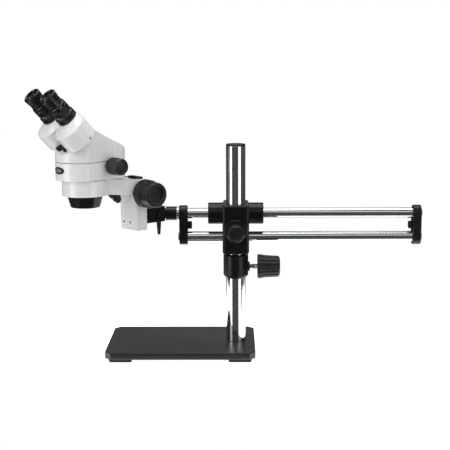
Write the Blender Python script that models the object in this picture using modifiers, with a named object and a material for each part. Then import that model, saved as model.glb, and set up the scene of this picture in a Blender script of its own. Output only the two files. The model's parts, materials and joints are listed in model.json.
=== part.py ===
"""Stereo zoom microscope on a double-arm ball-bearing boom stand.

The stand is measured from the pillar's axis at the top of the base plate. The focusing rack
and the head are measured from the knuckle's vertical pivot: x forward towards the user,
y towards the near side, z up from the same height. Units are metres, +Z is up.
"""

from math import acos, cos, pi, radians, sin

import bmesh
import bpy
from mathutils import Matrix, Vector

MM = 0.001
GAP = 0.3 * MM          # between pieces that touch
SMALL = 8               # sides of screws
ROUND = 14              # sides of most turned pieces
FINE = 20               # sides of the large round pieces

# --- driving dimensions: stand ---------------------------------------------------------
PILLAR_X = 8.1 * MM    # puts the origin under the middle of the whole microscope
PILLAR_Y = 35.5 * MM
FOOT_HEIGHT = 8 * MM
PLATE_THICKNESS = 14.5 * MM
PLATE_WIDTH = 305 * MM
PLATE_DEPTH = 206 * MM
PLATE_CORNER = 12 * MM
PLATE_RIGHT = 39.4 * MM     # from the pillar's axis to the plate's right edge
PILLAR_RADIUS = 20 * MM
PILLAR_HEIGHT = 412 * MM
CAP_THICKNESS = 4 * MM

COLLAR_RADIUS = 25.8 * MM
COLLAR_LOW, COLLAR_HIGH = 134 * MM, 184 * MM
COLLAR_KNOB_Z = 156.5 * MM

ROD_RADIUS = 11 * MM
ROD_BEHIND = 42 * MM        # rods' axes behind the pillar's axis
ROD_UPPER = 262 * MM
ROD_SPACING = 50 * MM
ROD_LOWER = ROD_UPPER - ROD_SPACING
ROD_MIDDLE = ROD_UPPER - ROD_SPACING / 2
BOOM_LEFT = -101.3 * MM     # inner face of the left link plate
BOOM_RIGHT = 371.5 * MM     # inner face of the right link plate
LINK_THICKNESS = 17.4 * MM
LINK_RADIUS = 16.5 * MM     # half the link plate's depth, and the radius of its ends
LINK_LENGTH = 84 * MM

CARRIER_HALF_WIDTH = 27.2 * MM
CARRIER_LOW, CARRIER_HIGH = 186 * MM, 288 * MM
CARRIER_FRONT, CARRIER_BACK = -28 * MM, 62 * MM
BEARING_RADIUS = 22.5 * MM
BEARING_HALF_LENGTH = 58 * MM

# --- driving dimensions: rack and head, from the pivot ---------------------------------
PIVOT_X = -162.3 * MM
RACK_YAW = radians(40)      # the head looks this far in front of the boom's own line
COLUMN_BACK, COLUMN_SEAM, COLUMN_FRONT = 50 * MM, 69 * MM, 76 * MM
COLUMN_HALF_WIDTH = 29 * MM
COLUMN_LOW, COLUMN_HIGH = 236 * MM, 341 * MM
PINION_X, PINION_Z = 57.5 * MM, 313 * MM
PINION_RADIUS = 4 * MM
GEAR_RACK_BACK = PINION_X + PINION_RADIUS + GAP    # the gear rack's face towards the pinion
GEAR_RACK_HALF = 5 * MM

RING_X = 179 * MM           # the head's vertical axis
RING_RADIUS = 45 * MM
RING_BORE = 38.1 * MM       # the 76 mm head mount
RING_LOW, RING_HIGH = 317 * MM, 348 * MM

HEAD_LOW, HEAD_SEAM, HEAD_TOP = 349 * MM, 384 * MM, 462 * MM
HEAD_FRONT_X, HEAD_FRONT_RADIUS = 187 * MM, 50 * MM
HEAD_BACK_X, HEAD_BACK_RADIUS = 128.5 * MM, 38 * MM
WALL = 3.5 * MM
FACE_SUM = 634 * MM         # x + z on the inclined face that carries the prism housings
ROOF_X, ROOF_Z, ROOF_SLOPE = 149 * MM, 433.2 * MM, radians(25.4)
ZOOM_X, ZOOM_Z = 143.5 * MM, 376 * MM

EYE_TILT = radians(45)
DRUM_X, DRUM_Y, DRUM_Z = 234.1 * MM, 33.6 * MM, 457.5 * MM   # centre of the drum's rim
DRUM_RADIUS = 33 * MM
DRUM_LENGTH = 40.2 * MM
TUBE_UP, TUBE_IN = 12 * MM, 4 * MM    # the eyepiece tube's axis from the drum's axis

COLLECTION = "stereo_microscope"


# --- scene and materials ---------------------------------------------------------------

for stale in list(bpy.data.objects):
    bpy.data.objects.remove(stale, do_unlink=True)

parts = bpy.data.collections.new(COLLECTION)
cutters = bpy.data.collections.new("cutters")
bpy.context.scene.collection.children.link(parts)
bpy.context.scene.collection.children.link(cutters)

FINISHES = {
    "base_paint": ((0.045, 0.045, 0.05), 0.45, 0.3),
    "chrome": ((0.75, 0.76, 0.78), 0.12, 1.0),
    "black_casting": ((0.012, 0.012, 0.013), 0.35, 0.2),
    "black_plastic": ((0.02, 0.02, 0.021), 0.5, 0.0),
    "black_rubber": ((0.015, 0.015, 0.015), 0.75, 0.0),
    "white_paint": ((0.83, 0.83, 0.82), 0.3, 0.0),
    "steel": ((0.45, 0.45, 0.46), 0.3, 1.0),
    "glass": ((0.55, 0.65, 0.7), 0.05, 0.0),
}


def finish(name, node):
    """A material of its own for one node, in one of the finishes."""
    colour, roughness, metallic = FINISHES[name]
    made = bpy.data.materials.new(node + "_" + name)
    made.use_nodes = True
    shader = made.node_tree.nodes["Principled BSDF"]
    shader.inputs["Base Color"].default_value = (*colour, 1)
    shader.inputs["Roughness"].default_value = roughness
    shader.inputs["Metallic"].default_value = metallic
    return made


def empty(name, location, rotation=(0, 0, 0), parent=None):
    """A frame that pieces are placed in."""
    made = bpy.data.objects.new(name, None)
    parts.objects.link(made)
    made.location, made.rotation_euler, made.parent = location, rotation, parent
    return made


# --- building blocks -------------------------------------------------------------------

def place(name, mesh, location, rotation, parent):
    made = bpy.data.objects.new(name, mesh)
    parts.objects.link(made)
    made.location, made.rotation_euler, made.parent = location, rotation, parent
    return made


def settled(piece):
    """The piece's mesh with its modifiers applied and its doubled corners joined."""
    bpy.context.view_layer.update()
    graph = bpy.context.evaluated_depsgraph_get()
    mesh = bpy.data.meshes.new_from_object(piece.evaluated_get(graph))
    shape = bmesh.new()
    shape.from_mesh(mesh)
    bmesh.ops.remove_doubles(shape, verts=shape.verts, dist=0.001 * MM)
    shape.to_mesh(mesh)
    shape.free()
    return mesh


def settle(piece):
    mesh = settled(piece)
    piece.modifiers.clear()
    piece.data = mesh
    return piece


def box(name, low, high, parent, location=(0, 0, 0), rotation=(0, 0, 0)):
    """A block between two corners, given from the block's own origin."""
    shape = bmesh.new()
    bmesh.ops.create_cube(shape, size=1)
    for corner in shape.verts:
        for k in range(3):
            corner.co[k] = high[k] if corner.co[k] > 0 else low[k]
    mesh = bpy.data.meshes.new(name)
    shape.to_mesh(mesh)
    shape.free()
    return place(name, mesh, location, rotation, parent)


def turned(name, profile, parent, location=(0, 0, 0), rotation=(0, 0, 0), ring=False, sides=ROUND):
    """A profile of (radius, height), top to bottom down its outer side, turned about Z."""
    mesh = bpy.data.meshes.new(name)
    last = len(profile) - 1
    edges = [(k, k + 1) for k in range(last)] + ([(last, 0)] if ring else [])
    mesh.from_pydata([(radius, 0, height) for radius, height in profile], edges, [])
    piece = place(name, mesh, location, rotation, parent)
    screw = piece.modifiers.new("turn", "SCREW")
    screw.steps = screw.render_steps = sides
    screw.use_merge_vertices = True
    screw.merge_threshold = 0.01 * MM
    return settle(piece)


def rod(name, radius, low, high, parent, location=(0, 0, 0), rotation=(0, 0, 0), edge=0.5 * MM,
        sides=ROUND):
    """A solid cylinder, with broken edges unless edge is 0."""
    profile = [(0, high), (radius, high), (radius, low), (0, low)]
    if edge:
        profile = [(0, high), (radius - edge, high), (radius, high - edge),
                   (radius, low + edge), (radius - edge, low), (0, low)]
    return turned(name, profile, parent, location, rotation, sides=sides)


def tube(name, outer, inner, low, high, parent, location=(0, 0, 0), rotation=(0, 0, 0),
         edge=0.5 * MM, sides=ROUND):
    """A ring or bush, with broken outer edges unless edge is 0."""
    profile = [(outer, high), (outer, low), (inner, low), (inner, high)]
    if edge:
        profile = [(outer - edge, high), (outer, high - edge), (outer, low + edge),
                   (outer - edge, low), (inner, low), (inner, high)]
    return turned(name, profile, parent, location, rotation, ring=True, sides=sides)


def slab(name, outline, low, high, parent, location=(0, 0, 0), rotation=(0, 0, 0)):
    """A flat outline of (x, y) points, extruded from low to high along Z."""
    curve = bpy.data.curves.new(name, "CURVE")
    curve.dimensions, curve.fill_mode, curve.extrude = "2D", "BOTH", (high - low) / 2
    spline = curve.splines.new("POLY")
    spline.points.add(len(outline) - 1)
    for point, (x, y) in zip(spline.points, outline):
        point.co = (x, y, 0, 1)
    spline.use_cyclic_u = True
    drawn = place(name + "_outline", curve, (0, 0, 0), (0, 0, 0), None)
    mesh = settled(drawn)
    bpy.data.objects.remove(drawn)
    mesh.transform(Matrix.Translation((0, 0, (low + high) / 2)))
    return place(name, mesh, location, rotation, parent)


def arc(centre, radius, start, end, steps):
    return [(centre[0] + radius * cos(start + (end - start) * k / steps),
             centre[1] + radius * sin(start + (end - start) * k / steps)) for k in range(steps + 1)]


def two_circles(front, front_radius, back, back_radius, steps=8):
    """The outline of a belt round two circles on the X axis, counter-clockwise."""
    lean = acos((front_radius - back_radius) / (front - back))
    return (arc((front, 0), front_radius, -lean, lean, steps)
            + arc((back, 0), back_radius, lean, 2 * pi - lean, steps))


def bevelled(piece, width, segments=2, angle=radians(35)):
    bevel = piece.modifiers.new("edges", "BEVEL")
    bevel.width, bevel.segments = width, segments
    bevel.limit_method, bevel.angle_limit = "ANGLE", angle
    return settle(piece)


def boolean(piece, other, operation):
    """Cuts, joins or intersects, and keeps the tool as a wire guide among the cutters."""
    parts.objects.unlink(other)
    cutters.objects.link(other)
    other.hide_render, other.display_type = True, "WIRE"
    tool = piece.modifiers.new(operation.lower(), "BOOLEAN")
    tool.operation, tool.solver, tool.object = operation, "EXACT", other
    return settle(piece)


def cut(piece, *tools):
    for tool in tools:
        boolean(piece, tool, "DIFFERENCE")
    return piece


def join(piece, *tools):
    for tool in tools:
        boolean(piece, tool, "UNION")
    return piece


def drill(piece, radius, low, high, parent, location, rotation=(0, 0, 0), sides=ROUND):
    """A round hole along the tool's own Z axis."""
    tool = rod(piece.name + "_hole", radius, low, high, parent, location, rotation, edge=0, sides=sides)
    return cut(piece, tool)


def dress(piece, finish_name, angle=radians(35)):
    """Gives the piece its material and smooths everything but its edges."""
    piece.data.materials.clear()
    piece.data.materials.append(finish(finish_name, piece.name))
    piece.data.shade_smooth()
    piece.data.set_sharp_from_angle(angle=angle)
    return piece


ALONG_X = (0, pi / 2, 0)      # turns a piece's own Z axis to +X
ALONG_Y = (-pi / 2, 0, 0)     # turns a piece's own Z axis to +Y
TO_FRONT = (pi / 2, 0, 0)     # turns a piece's own Z axis to -Y


# --- stand -----------------------------------------------------------------------------

stand = empty("stand_axis", (PILLAR_X, PILLAR_Y, FOOT_HEIGHT + PLATE_THICKNESS))
PLATE_X = PLATE_RIGHT - PLATE_WIDTH / 2      # middle of the plate


def base_plate():
    half_x, half_y = PLATE_WIDTH / 2, PLATE_DEPTH / 2
    outline = []
    for sx, sy in ((1, -1), (1, 1), (-1, 1), (-1, -1)):
        along = (sx * (half_x - PLATE_CORNER), sy * half_y)
        across = (sx * half_x, sy * (half_y - PLATE_CORNER))
        outline += [along, across] if sx * sy < 0 else [across, along]
    plate = slab("base_plate", outline, -PLATE_THICKNESS, 0, stand, (PLATE_X, 0, 0))
    bevelled(plate, 1.0 * MM, 1)
    drill(plate, 6.5 * MM, -0.02, 0.02, stand, (0, 0, 0))
    drill(plate, 13 * MM, -0.03, -6.5 * MM, stand, (0, 0, 0))
    dress(plate, "base_paint")


def feet():
    """Tapered rubber feet under the plate's corners."""
    half_x, half_y, inset, taper = 25 * MM, 19 * MM, 6.5 * MM, 2.5 * MM
    places = (("front_left", -1, -1), ("front_right", 1, -1), ("back_left", -1, 1), ("back_right", 1, 1))
    for label, sx, sy in places:
        x = PLATE_X + sx * (PLATE_WIDTH / 2 - inset - half_x)
        y = sy * (PLATE_DEPTH / 2 - inset - half_y)
        top = -PLATE_THICKNESS - GAP
        bottom = -PLATE_THICKNESS - FOOT_HEIGHT
        foot = box("foot_" + label, (-half_x, -half_y, bottom), (half_x, half_y, top), stand, (x, y, 0))
        for corner in foot.data.vertices:
            if corner.co.z < (top + bottom) / 2:
                corner.co.x -= taper * (1 if corner.co.x > 0 else -1)
                corner.co.y -= taper * (1 if corner.co.y > 0 else -1)
        dress(bevelled(foot, 1.2 * MM, 1), "black_rubber")


def pillar():
    top = PILLAR_HEIGHT - CAP_THICKNESS - GAP
    post = rod("pillar", PILLAR_RADIUS, GAP, top, stand, edge=0.8 * MM, sides=FINE)
    drill(post, 6.3 * MM, -0.01, 28 * MM, stand, (0, 0, 0))
    dress(post, "chrome")
    cap = rod("pillar_cap", PILLAR_RADIUS, PILLAR_HEIGHT - CAP_THICKNESS, PILLAR_HEIGHT, stand,
              edge=1.2 * MM, sides=FINE)
    dress(cap, "black_plastic")
    head, shank, tip = -7 * MM, 6 * MM, 27 * MM
    bolt = [(0, tip), (shank - 1 * MM, tip), (shank, tip - 1 * MM), (shank, head), (11 * MM, head),
            (11 * MM, -13.5 * MM), (0, -13.5 * MM)]
    dress(turned("pillar_bolt", bolt, stand), "steel")


def safety_collar():
    """The split ring that carries the boom, with its side clamp screw and knob."""
    low, high, outer, inner = COLLAR_LOW, COLLAR_HIGH, COLLAR_RADIUS, PILLAR_RADIUS + GAP
    profile = [(outer - 3 * MM, high), (outer, high - 3 * MM), (outer, low + 5.5 * MM),
               (outer - 4 * MM, low), (inner, low), (inner, high)]
    ring = turned("safety_collar", profile, stand, ring=True, sides=FINE)
    boss = rod("collar_boss", 10 * MM, 20.5 * MM, 29 * MM, stand, (0, 0, COLLAR_KNOB_Z), ALONG_X)
    join(ring, boss)
    drill(ring, inner, low - 0.01, high + 0.01, stand, (0, 0, 0), sides=FINE)
    drill(ring, 5.4 * MM, 15 * MM, 40 * MM, stand, (0, 0, COLLAR_KNOB_Z), ALONG_X)
    dress(ring, "black_casting")
    screw = rod("collar_screw", 5 * MM, 21 * MM, 60 * MM, stand, (0, 0, COLLAR_KNOB_Z), ALONG_X,
                edge=1 * MM)
    dress(screw, "steel")
    start, end = 45 * MM, 91.5 * MM
    knob = [(0, end), (18.5 * MM, end), (21.8 * MM, end - 3 * MM), (23 * MM, start + 18 * MM),
            (25.3 * MM, start + 4 * MM), (24.4 * MM, start), (8 * MM, start), (5.3 * MM, start),
            (5.3 * MM, 60.3 * MM), (0, 60.3 * MM)]
    dress(turned("collar_knob", knob, stand, (0, 0, COLLAR_KNOB_Z), ALONG_X, sides=FINE), "black_plastic")


def carrier():
    """The casting that swivels on the pillar and holds the boom's linear bearings."""
    low, high, half = CARRIER_LOW, CARRIER_HIGH, CARRIER_HALF_WIDTH
    block = box("carrier_block", (-half, CARRIER_FRONT, low), (half, CARRIER_BACK, high), stand)
    bevelled(block, 6 * MM)
    housing = rod("bearing_housing", BEARING_RADIUS, -BEARING_HALF_LENGTH, BEARING_HALF_LENGTH, stand,
                  (0, ROD_BEHIND, ROD_UPPER), ALONG_X, edge=1.2 * MM, sides=FINE)
    boss = rod("front_boss", 23 * MM, 20 * MM, 40 * MM, stand, (0, 0, ROD_MIDDLE), TO_FRONT,
               edge=1.5 * MM, sides=FINE)
    join(block, housing, boss)
    drill(block, PILLAR_RADIUS + GAP, 0.1, 0.35, stand, (0, 0, 0), sides=FINE)
    drill(block, 15 * MM, -0.1, 0.1, stand, (0, ROD_BEHIND, ROD_UPPER), ALONG_X)
    drill(block, 15 * MM, -0.1, 0.1, stand, (0, ROD_BEHIND, ROD_LOWER), ALONG_X)
    drill(block, 5.4 * MM, 10 * MM, 60 * MM, stand, (0, 0, ROD_MIDDLE), TO_FRONT)
    dress(block, "black_casting")

    outer, inner = 14.7 * MM, ROD_RADIUS + 0.2 * MM
    for label, start, end in (("left", -BEARING_HALF_LENGTH, -14 * MM), ("right", 14 * MM, BEARING_HALF_LENGTH)):
        bush = tube("upper_bush_" + label, outer, inner, start, end, stand,
                    (0, ROD_BEHIND, ROD_UPPER), ALONG_X, edge=0)
        dress(bush, "steel")
    bush = tube("lower_bush", outer, inner, -half, half, stand, (0, ROD_BEHIND, ROD_LOWER), ALONG_X,
                edge=0)
    dress(bush, "steel")

    tip, root = 21 * MM, 60 * MM
    screw = rod("carrier_lock_screw", 5 * MM, tip, root, stand, (0, 0, ROD_MIDDLE), TO_FRONT, edge=1 * MM)
    dress(screw, "steel")
    start, end = 46 * MM, 80 * MM
    knob = [(0, end), (14.5 * MM, end), (17.5 * MM, end - 3 * MM), (17.5 * MM, start + 2 * MM),
            (16 * MM, start), (5.3 * MM, start), (5.3 * MM, root + GAP), (0, root + GAP)]
    dress(turned("carrier_lock_knob", knob, stand, (0, 0, ROD_MIDDLE), TO_FRONT, sides=FINE),
          "black_plastic")


def rod_end_bolt(name, side, height):
    """A bolt through a link plate into the end of a rod; side is -1 left or 1 right."""
    head, thickness, shank, depth = 8.5 * MM, 2.6 * MM, 5 * MM, 15 * MM
    profile = [(0, thickness + LINK_THICKNESS), (head - 0.8 * MM, thickness + LINK_THICKNESS),
               (head, thickness + LINK_THICKNESS - 0.8 * MM), (head, LINK_THICKNESS + GAP),
               (shank, LINK_THICKNESS + GAP), (shank, -depth), (0, -depth)]
    x = BOOM_RIGHT if side > 0 else BOOM_LEFT
    turn = ALONG_X if side > 0 else (0, -pi / 2, 0)
    dress(turned(name, profile, stand, (x, ROD_BEHIND, height), turn), "steel")


def boom():
    for name, height in (("upper_rod", ROD_UPPER), ("lower_rod", ROD_LOWER)):
        bar = rod(name, ROD_RADIUS, BOOM_LEFT + GAP, BOOM_RIGHT - GAP, stand,
                  (0, ROD_BEHIND, height), ALONG_X)
        drill(bar, 5.3 * MM, BOOM_LEFT - 0.01, BOOM_LEFT + 17 * MM, stand, (0, ROD_BEHIND, height), ALONG_X)
        drill(bar, 5.3 * MM, BOOM_RIGHT - 17 * MM, BOOM_RIGHT + 0.01, stand, (0, ROD_BEHIND, height), ALONG_X)
        dress(bar, "chrome")

    reach = LINK_LENGTH / 2 - LINK_RADIUS
    outline = (arc((reach, 0), LINK_RADIUS, -pi / 2, pi / 2, 12)
               + arc((-reach, 0), LINK_RADIUS, pi / 2, 3 * pi / 2, 12))
    outline = [(-x, y) for x, y in reversed(outline)]
    for label, x in (("left", BOOM_LEFT - LINK_THICKNESS), ("right", BOOM_RIGHT)):
        plate = slab("link_plate_" + label, outline, 0, LINK_THICKNESS, stand,
                     (x, ROD_BEHIND, ROD_MIDDLE), ALONG_X)
        bevelled(plate, 1.5 * MM, 1)
        for height in (ROD_UPPER, ROD_LOWER):
            drill(plate, 5.3 * MM, -0.01, 0.03, stand, (x, ROD_BEHIND, height), ALONG_X)
        dress(plate, "black_casting")

    rod_end_bolt("rod_bolt_lower_left", -1, ROD_LOWER)
    rod_end_bolt("rod_bolt_upper_right", 1, ROD_UPPER)
    rod_end_bolt("rod_bolt_lower_right", 1, ROD_LOWER)

    middle = (0, ROD_BEHIND, ROD_MIDDLE)
    left = rod("bumper_left", 8 * MM, BOOM_LEFT + GAP, BOOM_LEFT + 9 * MM, stand, middle, ALONG_X,
               edge=1.5 * MM)
    right = rod("bumper_right", 8 * MM, BOOM_RIGHT - 8 * MM, BOOM_RIGHT - GAP, stand, middle, ALONG_X,
                edge=1.5 * MM)
    dress(left, "black_rubber")
    dress(right, "black_rubber")

    outer_face = LINK_THICKNESS + GAP
    reach = 43.5 * MM
    spigot = [(0, reach), (10 * MM, reach), (ROD_RADIUS, reach - 1 * MM), (ROD_RADIUS, outer_face + 5 * MM),
              (14.2 * MM, outer_face + 5 * MM), (14.2 * MM, outer_face), (5 * MM, outer_face),
              (5 * MM, -15 * MM), (0, -15 * MM)]
    dress(turned("spigot", spigot, stand, (BOOM_LEFT, ROD_BEHIND, ROD_UPPER), (0, -pi / 2, 0)), "chrome")


# --- knuckle ---------------------------------------------------------------------------

TONGUE_LOW, TONGUE_HIGH = ROD_UPPER - 9 * MM, ROD_UPPER + 9 * MM
FORK_LOW, FORK_HIGH = ROD_UPPER - 16 * MM, ROD_UPPER + 15 * MM
PIVOT_HOLE = 4.3 * MM
KNUCKLE_RADIUS = 13.5 * MM


def knuckle():
    """A sleeve on the spigot with a flat tongue, which the rack's fork swivels on."""
    sleeve_start = BOOM_LEFT - LINK_THICKNESS - 5 * MM - 2 * GAP
    sleeve_end = PIVOT_X + 15.5 * MM
    block = rod("knuckle_block", 14.5 * MM, sleeve_end, sleeve_start, stand,
                (0, ROD_BEHIND, ROD_UPPER), ALONG_X, edge=0.8 * MM)
    outline = (arc((0, 0), KNUCKLE_RADIUS, pi / 2, 3 * pi / 2, 12)
               + [(17 * MM, -KNUCKLE_RADIUS), (17 * MM, KNUCKLE_RADIUS)])
    tongue = slab("tongue", outline, TONGUE_LOW, TONGUE_HIGH, stand, (PIVOT_X, ROD_BEHIND, 0))
    join(block, tongue)
    drill(block, ROD_RADIUS + 0.3 * MM, sleeve_end + 1 * MM, -0.1, stand,
          (0, ROD_BEHIND, ROD_UPPER), ALONG_X)
    drill(block, PIVOT_HOLE, 0.2, 0.3, stand, (PIVOT_X, ROD_BEHIND, 0))
    dress(block, "black_casting")
    grip_low, grip_high = ROD_UPPER - 45 * MM, FORK_LOW - GAP
    screw = [(0, ROD_UPPER + 12 * MM), (3 * MM, ROD_UPPER + 12 * MM), (4 * MM, ROD_UPPER + 11 * MM),
             (4 * MM, grip_high), (4.8 * MM, grip_high), (4.8 * MM, grip_high - 6 * MM),
             (3 * MM, grip_low), (0, grip_low)]
    dress(turned("knuckle_screw", screw, stand, (PIVOT_X, ROD_BEHIND, 0)), "black_plastic")


# --- focusing rack ---------------------------------------------------------------------

rack = empty("rack_axis", (PIVOT_X, ROD_BEHIND, 0), (0, 0, pi + RACK_YAW), stand)


def rack_column():
    """The fixed half of the focusing rack: fork, housing with its slideway, and end cap."""
    outline = (arc((0, 0), KNUCKLE_RADIUS, pi / 2, 3 * pi / 2, 12)
               + [(COLUMN_BACK - GAP, -KNUCKLE_RADIUS), (COLUMN_BACK - GAP, KNUCKLE_RADIUS)])
    fork = slab("rack_adapter", outline, FORK_LOW, FORK_HIGH, rack)
    cut(fork, box("fork_slot", (-0.03, -0.02, TONGUE_LOW - GAP), (17 * MM, 0.02, TONGUE_HIGH + GAP), rack))
    drill(fork, PIVOT_HOLE, 0.2, ROD_UPPER + 13 * MM, rack, (0, 0, 0))
    dress(fork, "black_casting")

    half = COLUMN_HALF_WIDTH
    housing = box("rack_housing", (COLUMN_BACK, -half, COLUMN_LOW), (COLUMN_SEAM, half, COLUMN_HIGH), rack)
    bevelled(housing, 1.2 * MM)
    cut(housing, box("slideway", (COLUMN_BACK + 3 * MM, -14 * MM, 0.2), (0.08, 14 * MM, 0.36), rack))
    drill(housing, PINION_RADIUS + GAP, -0.05, 0.05, rack, (PINION_X, 0, PINION_Z), ALONG_Y)
    dress(housing, "white_paint")

    cap = box("rack_end_cap", (COLUMN_BACK + 1.5 * MM, -19 * MM, COLUMN_HIGH + GAP),
              (COLUMN_SEAM - 3.5 * MM, 19 * MM, COLUMN_HIGH + 4.5 * MM), rack)
    bevelled(cap, 1.5 * MM, 1)
    notch_half = GEAR_RACK_HALF + 2 * GAP
    cut(cap, box("cap_notch", (GEAR_RACK_BACK - 2 * GAP, -notch_half, COLUMN_HIGH - 0.01),
                 (COLUMN_FRONT, notch_half, COLUMN_HIGH + 0.02), rack))
    dress(cap, "black_plastic")


def focus_knobs():
    """The pinion shaft and its two coarse focus knobs, turned about one axis."""
    centre = (PINION_X, 0, PINION_Z)
    reach = 50 * MM
    shaft = rod("pinion_shaft", PINION_RADIUS, -reach, reach, rack, centre, ALONG_Y, edge=0.6 * MM)
    dress(shaft, "steel")
    start, end = COLUMN_HALF_WIDTH + 0.8 * MM, COLUMN_HALF_WIDTH + 47 * MM
    bore = PINION_RADIUS + GAP
    knob = [(0, end - 9 * MM), (17 * MM, end - 9 * MM), (18 * MM, end), (22.5 * MM, end),
            (25 * MM, end - 2.5 * MM), (25.8 * MM, end - 14 * MM), (28.6 * MM, start + 20 * MM),
            (28.8 * MM, start + 3 * MM), (27 * MM, start), (bore, start), (bore, reach + GAP),
            (0, reach + GAP)]
    for label, turn in (("near", ALONG_Y), ("far", TO_FRONT)):
        made = turned("focus_knob_" + label, knob, rack, centre, turn, sides=FINE)
        dress(made, "black_plastic")


ARM_LOW, ARM_HIGH = 308 * MM, 341 * MM    # the arm's height at the slide


def focus_arm():
    """The moving half: the slide, the arm and the 76 mm ring, cast in one."""
    half = COLUMN_HALF_WIDTH
    ring = rod("focus_arm", RING_RADIUS, RING_LOW, RING_HIGH, rack, (RING_X, 0, 0), edge=1.0 * MM,
               sides=FINE)
    bridge = box("arm_bridge", (COLUMN_SEAM + 1 * MM, -half, ARM_LOW), (RING_X - 18 * MM, half, ARM_HIGH), rack)
    for corner in bridge.data.vertices:
        if corner.co.x > RING_X - 20 * MM:
            corner.co.z = RING_LOW + 0.5 * MM if corner.co.z < 0.32 else RING_HIGH - 1.0 * MM
    slide = box("slide_plate", (COLUMN_SEAM + 0.6 * MM, -half, COLUMN_LOW), (COLUMN_FRONT, half, ARM_HIGH), rack)
    tongue = box("slide_tongue", (COLUMN_SEAM - 2.4 * MM, -13.5 * MM, COLUMN_LOW + 1 * MM),
                 (COLUMN_SEAM + 2 * MM, 13.5 * MM, ARM_HIGH - 1 * MM), rack)
    join(ring, bridge, slide, tongue)
    bevelled(ring, 1.0 * MM, 1, radians(50))
    drill(ring, RING_BORE, 0.3, 0.36, rack, (RING_X, 0, 0), sides=FINE)
    gib_depth = COLUMN_FRONT - 5 * MM
    for y in GIB_PLACES:
        drill(ring, 2.6 * MM, gib_depth, 0.09, rack, (0, y, GIB_HEIGHT), ALONG_X, sides=SMALL)
    around = radians(RING_SCREW_AROUND)
    drill(ring, 2.6 * MM, RING_RADIUS - 5 * MM, 0.06, rack, (RING_X, 0, RING_SCREW_Z),
          (0, pi / 2, around), sides=SMALL)
    drill(ring, 3.4 * MM, -6 * MM, 60 * MM, rack, LOCK_PLACE, LOCK_TURN, sides=SMALL)
    dress(ring, "white_paint", radians(45))

    bar = box("gear_rack", (GEAR_RACK_BACK, -GEAR_RACK_HALF, COLUMN_LOW + 8 * MM),
              (COLUMN_SEAM - 2.4 * MM - GAP, GEAR_RACK_HALF, ARM_HIGH - 2 * MM), rack)
    dress(bevelled(bar, 0.4 * MM, 1), "steel")


GIB_PLACES = (-17 * MM, 5 * MM)
GIB_HEIGHT = 251 * MM
RING_SCREW_AROUND = 64         # degrees round the ring from straight ahead, on the near side
RING_SCREW_Z = 333 * MM
LOCK_PLACE = (RING_X - RING_BORE, 0, RING_LOW + 8 * MM)
LOCK_TURN = (0, radians(-122.4), 0)    # the lock screw runs back and down, under the arm


def screws():
    """The slide's gib screws, the ring's set screw and the thumb screw that locks the head."""
    flush = COLUMN_FRONT - 0.6 * MM
    for label, y in zip(("far", "near"), GIB_PLACES):
        gib = rod("gib_screw_" + label, 2.3 * MM, flush - 4 * MM, flush, rack, (0, y, GIB_HEIGHT), ALONG_X,
                  edge=0.3 * MM, sides=SMALL)
        dress(gib, "steel")
    around = radians(RING_SCREW_AROUND)
    set_screw = rod("ring_set_screw", 2.3 * MM, RING_RADIUS - 4.5 * MM, RING_RADIUS - 0.6 * MM, rack,
                    (RING_X, 0, RING_SCREW_Z), (0, pi / 2, around), edge=0.3 * MM, sides=SMALL)
    dress(set_screw, "steel")
    grip = [(0, 50 * MM), (6.2 * MM, 50 * MM), (7 * MM, 49 * MM), (7 * MM, 39 * MM), (6 * MM, 38 * MM),
            (3 * MM, 38 * MM), (3 * MM, 1.5 * MM), (0, 1.5 * MM)]
    dress(turned("head_lock_screw", grip, rack, LOCK_PLACE, LOCK_TURN, sides=ROUND), "black_plastic")


# --- head ------------------------------------------------------------------------------

def head_outline(inset=0):
    return two_circles(HEAD_FRONT_X, HEAD_FRONT_RADIUS - inset, HEAD_BACK_X, HEAD_BACK_RADIUS - inset)


def head_roof(name, drop):
    """Two wedges that take off everything above the roof and the inclined face."""
    span = 0.3
    steep = box(name + "_face", (0, -span, -span), (span, span, span), rack,
                ((FACE_SUM - drop * 1.4142) / 2, 0, (FACE_SUM - drop * 1.4142) / 2), (0, -pi / 4, 0))
    lean = box(name + "_roof", (-span, -span, 0), (span, span, span), rack,
               (ROOF_X, 0, ROOF_Z - drop / cos(ROOF_SLOPE)), (0, -ROOF_SLOPE, 0))
    return steep, lean


def head_base():
    """The lower housing, with the round collar that sits in the ring."""
    base = slab("head_base", head_outline(), HEAD_LOW, HEAD_SEAM, rack)
    bevelled(base, 1.0 * MM, 1)
    collar = rod("head_collar", RING_BORE - 0.6 * MM, RING_LOW - GAP, HEAD_LOW + 2 * MM, rack, (RING_X, 0, 0),
                 edge=0.4 * MM, sides=FINE)
    join(base, collar)
    cut(base, slab("head_hollow", head_outline(WALL), HEAD_LOW + WALL, HEAD_SEAM + 0.01, rack))
    drill(base, 26 * MM, 0.3, 0.36, rack, (RING_X, 0, 0))
    drill(base, PINION_RADIUS + GAP, -0.1, 0.1, rack, (ZOOM_X, 0, ZOOM_Z), ALONG_Y)
    dress(base, "white_paint")


def head_cover():
    """The upper housing: a roof falling to the back and an inclined face for the prisms."""
    low = HEAD_SEAM + 0.5 * MM
    cover = slab("head_cover", head_outline(), low, HEAD_TOP, rack)
    cut(cover, *head_roof("cover", 0))
    bevelled(cover, 3.0 * MM, 2, radians(30))
    hollow = slab("cover_hollow", head_outline(WALL), low - 0.01, HEAD_TOP, rack)
    cut(hollow, *head_roof("hollow", 4 * MM))
    cut(cover, hollow)
    for side in (-1, 1):
        drill(cover, 17 * MM, -0.08, 0, rack, (DRUM_X, side * DRUM_Y * 0.72, DRUM_Z), (0, EYE_TILT, 0))
    dress(cover, "white_paint")


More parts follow.
